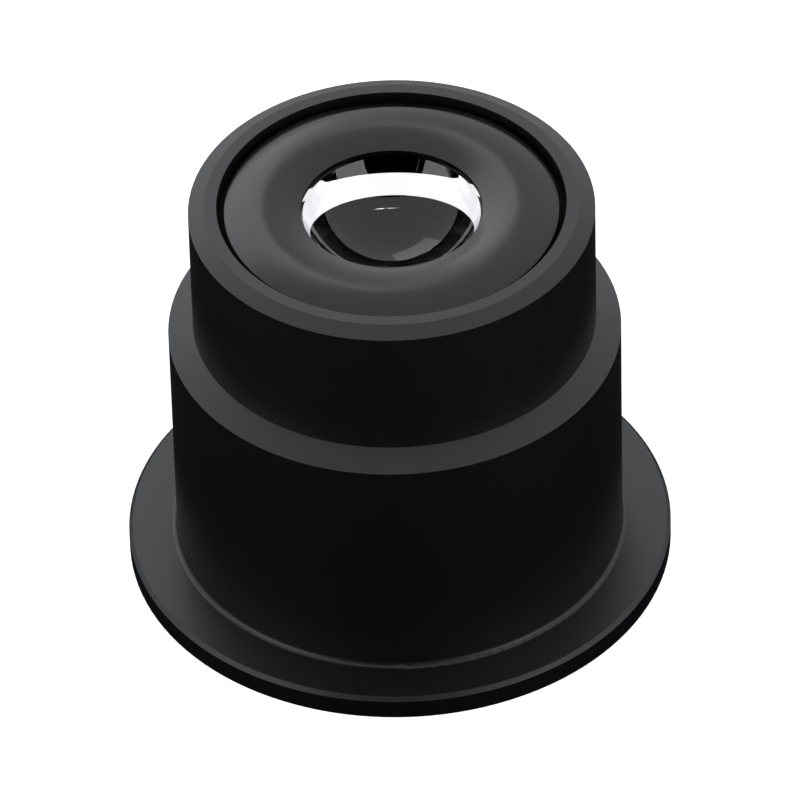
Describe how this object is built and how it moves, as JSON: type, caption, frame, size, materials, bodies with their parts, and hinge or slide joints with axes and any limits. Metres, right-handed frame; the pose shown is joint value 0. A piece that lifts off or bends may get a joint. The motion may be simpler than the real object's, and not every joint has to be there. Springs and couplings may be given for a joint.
{
  "type": "darkfield condenser",
  "caption": "Dry darkfield condenser: stepped black barrel on a flange, with a crested front ring round a hollow glass mirror block.",
  "frame": {"origin": "centre of the flange's underside, on the optical axis", "axes": "+Z along the optical axis, from the flange to the glass front"},
  "size_m": [0.054, 0.054, 0.0431],
  "materials": {
    "black_anodised": "fine blasted, black anodised",
    "gloss_black": "turned, black lacquer, glossy",
    "optical_glass": "polished, silvered and blacked on its side",
    "matt_black": "turned, matt black anodised"
  },
  "bodies": {
    "root": {"barrel": "black_anodised", "front_ring": "gloss_black", "glass_block": "optical_glass", "patch_stop": "matt_black", "spacer_tube": "matt_black", "optics_retaining_ring": "matt_black"}
  },
  "joints": []
}
